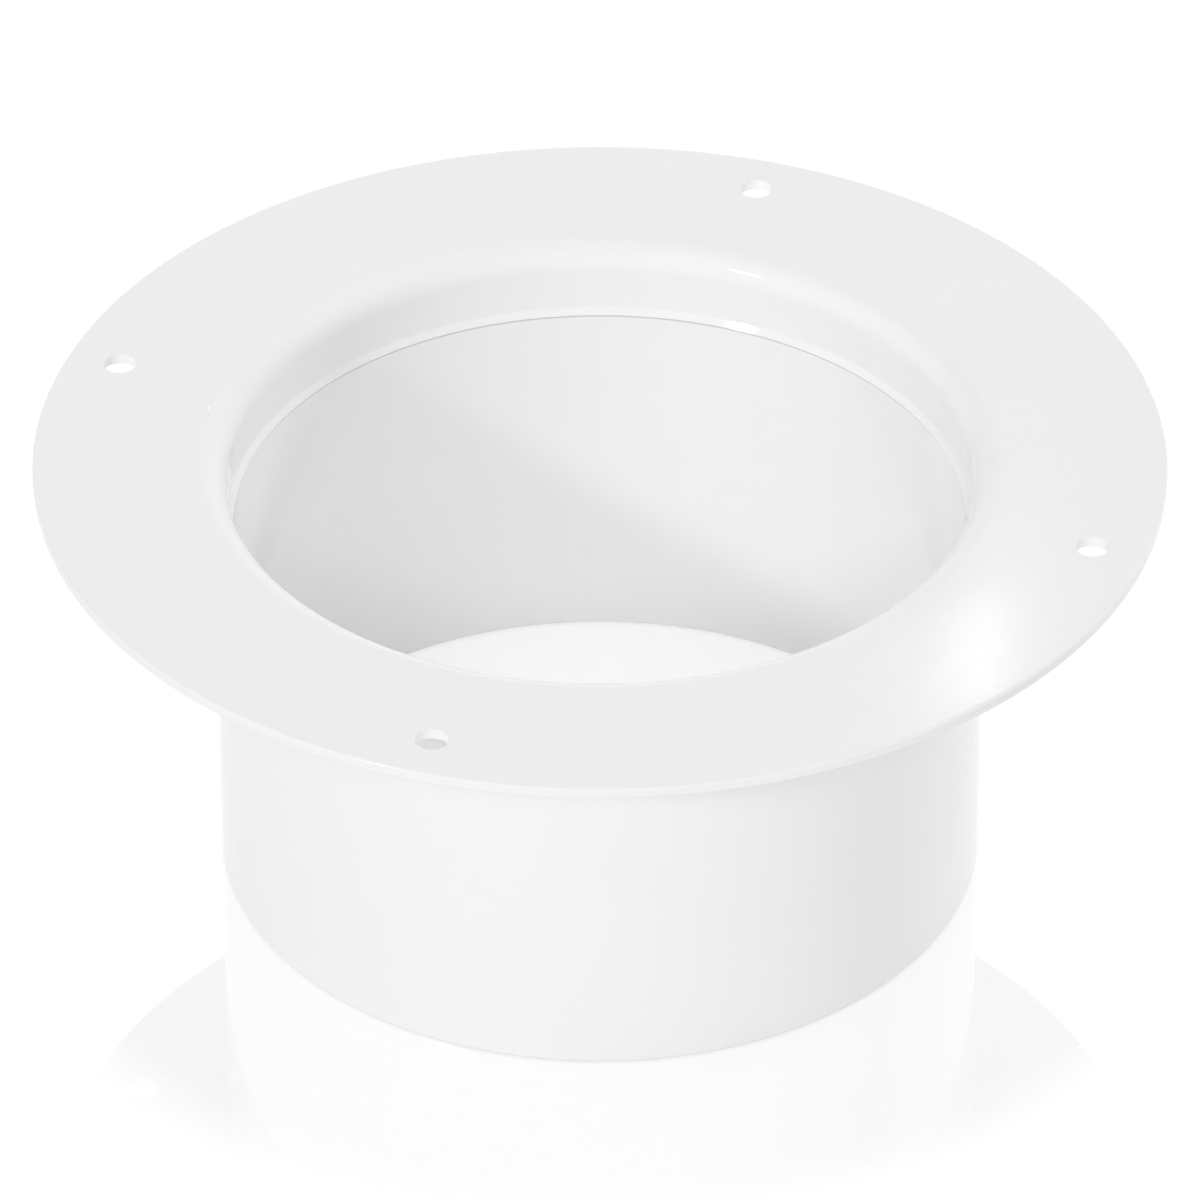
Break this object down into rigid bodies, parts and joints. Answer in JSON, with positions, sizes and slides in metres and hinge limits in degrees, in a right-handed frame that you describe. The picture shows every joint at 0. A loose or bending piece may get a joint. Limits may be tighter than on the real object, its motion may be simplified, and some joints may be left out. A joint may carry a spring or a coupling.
{
  "type": "duct flange",
  "caption": "White moulded flange with a short round spigot, screwed to a panel or wall so that a round ventilation duct can be pushed over the spigot.",
  "frame": {"origin": "centre of the spigot's open end, on the duct's axis", "axes": "+Z along the duct's axis, from the spigot's open end up to the plate; +X and +Y each pass through a screw hole"},
  "size_m": [0.145, 0.145, 0.06],
  "materials": {
    "white_plastic": "smooth, semi-gloss white"
  },
  "bodies": {
    "root": {"duct_flange": "white_plastic"}
  },
  "joints": []
}
